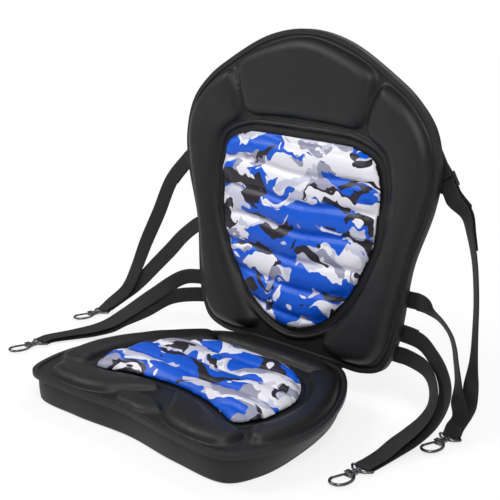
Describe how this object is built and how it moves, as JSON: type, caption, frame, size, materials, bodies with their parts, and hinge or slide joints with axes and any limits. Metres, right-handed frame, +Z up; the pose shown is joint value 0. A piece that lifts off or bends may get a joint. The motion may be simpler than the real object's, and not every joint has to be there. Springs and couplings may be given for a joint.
{
  "type": "kayak seat",
  "caption": "Padded sit-on-top kayak seat: moulded cushion with a folding backrest and adjustable webbing straps that clip to the hull with swivel hooks.",
  "frame": {"origin": "middle of the seat's flat underside", "axes": "+Z up, the sitter faces -Y, the sitter's left is +X"},
  "size_m": [0.8011, 0.3986, 0.5385],
  "materials": {
    "eva_fabric": "smooth black knitted fabric on moulded foam",
    "grip_fabric": "coarse black non-slip fabric",
    "foam": "closed-cell foam",
    "binding_tape": "black woven edge binding",
    "camo_fabric": "blue, grey and white camouflage print",
    "webbing": "black woven polyester webbing",
    "buckle_plastic": "black moulded plastic",
    "hook_metal": "polished dark nickel"
  },
  "bodies": {
    "seat": {"seat_grip_panel": "grip_fabric", "seat_tray": "eva_fabric", "seat_foam_core": "foam", "seat_cover": "eva_fabric", "seat_binding": "binding_tape", "seat_cushion": "camo_fabric", "eye_left_upper": "hook_metal", "eye_left_lower": "hook_metal", "eye_right_upper": "hook_metal", "eye_right_lower": "hook_metal"},
    "backrest": {"backrest_front": "eva_fabric", "backrest_rear": "eva_fabric", "backrest_foam_core": "foam", "backrest_binding": "binding_tape", "backrest_cushion": "camo_fabric", "hinge_flap": "binding_tape", "anchor_left_upper": "webbing", "buckle_left_upper": "buckle_plastic", "strap_left_upper": "webbing", "anchor_left_lower": "webbing", "buckle_left_lower": "buckle_plastic", "strap_left_lower": "webbing", "anchor_right_upper": "webbing", "buckle_right_upper": "buckle_plastic", "strap_right_upper": "webbing", "anchor_right_lower": "webbing", "buckle_right_lower": "buckle_plastic", "strap_right_lower": "webbing"},
    "hook_left_upper": {"hook_left_upper": "hook_metal"},
    "gate_left_upper": {"gate_left_upper": "hook_metal"},
    "hook_left_lower": {"hook_left_lower": "hook_metal"},
    "gate_left_lower": {"gate_left_lower": "hook_metal"},
    "hook_right_upper": {"hook_right_upper": "hook_metal"},
    "gate_right_upper": {"gate_right_upper": "hook_metal"},
    "hook_right_lower": {"hook_right_lower": "hook_metal"},
    "gate_right_lower": {"gate_right_lower": "hook_metal"}
  },
  "joints": [
    {"name": "backrest_fold", "type": "hinge", "parent": "seat", "child": "backrest", "pos_m": [0, 0.1672, 0.048], "axis": [1, 0, 0], "range_deg": [-86, 35], "deforming": ["strap_left_upper", "strap_left_lower", "strap_right_upper", "strap_right_lower", "hinge_flap"]},
    {"name": "swivel_left_upper", "type": "hinge", "parent": "seat", "child": "hook_left_upper", "pos_m": [-0.4452, 0.135, 0.005], "axis": [0, 1, 0], "continuous": true},
    {"name": "gate_left_upper", "type": "hinge", "parent": "hook_left_upper", "child": "gate_left_upper", "pos_m": [-0.4502, 0.12065, 0.005], "axis": [0, 0, 1], "range_deg": [0, 22], "stiffness_Nm_per_rad": 0.02, "springref_deg": -11.46},
    {"name": "swivel_left_lower", "type": "hinge", "parent": "seat", "child": "hook_left_lower", "pos_m": [-0.387, -0.044, 0.005], "axis": [0, 1, 0], "continuous": true},
    {"name": "gate_left_lower", "type": "hinge", "parent": "hook_left_lower", "child": "gate_left_lower", "pos_m": [-0.392, -0.05835, 0.005], "axis": [0, 0, 1], "range_deg": [0, 22], "stiffness_Nm_per_rad": 0.02, "springref_deg": -11.46},
    {"name": "swivel_right_upper", "type": "hinge", "parent": "seat", "child": "hook_right_upper", "pos_m": [0.3197, 0.129, 0.005], "axis": [0, 1, 0], "continuous": true},
    {"name": "gate_right_upper", "type": "hinge", "parent": "hook_right_upper", "child": "gate_right_upper", "pos_m": [0.3147, 0.11465, 0.005], "axis": [0, 0, 1], "range_deg": [0, 22], "stiffness_Nm_per_rad": 0.02, "springref_deg": -11.46},
    {"name": "swivel_right_lower", "type": "hinge", "parent": "seat", "child": "hook_right_lower", "pos_m": [0.2932, -0.032, 0.005], "axis": [0, 1, 0], "continuous": true},
    {"name": "gate_right_lower", "type": "hinge", "parent": "hook_right_lower", "child": "gate_right_lower", "pos_m": [0.2882, -0.04635, 0.005], "axis": [0, 0, 1], "range_deg": [0, 22], "stiffness_Nm_per_rad": 0.02, "springref_deg": -11.46}
  ]
}
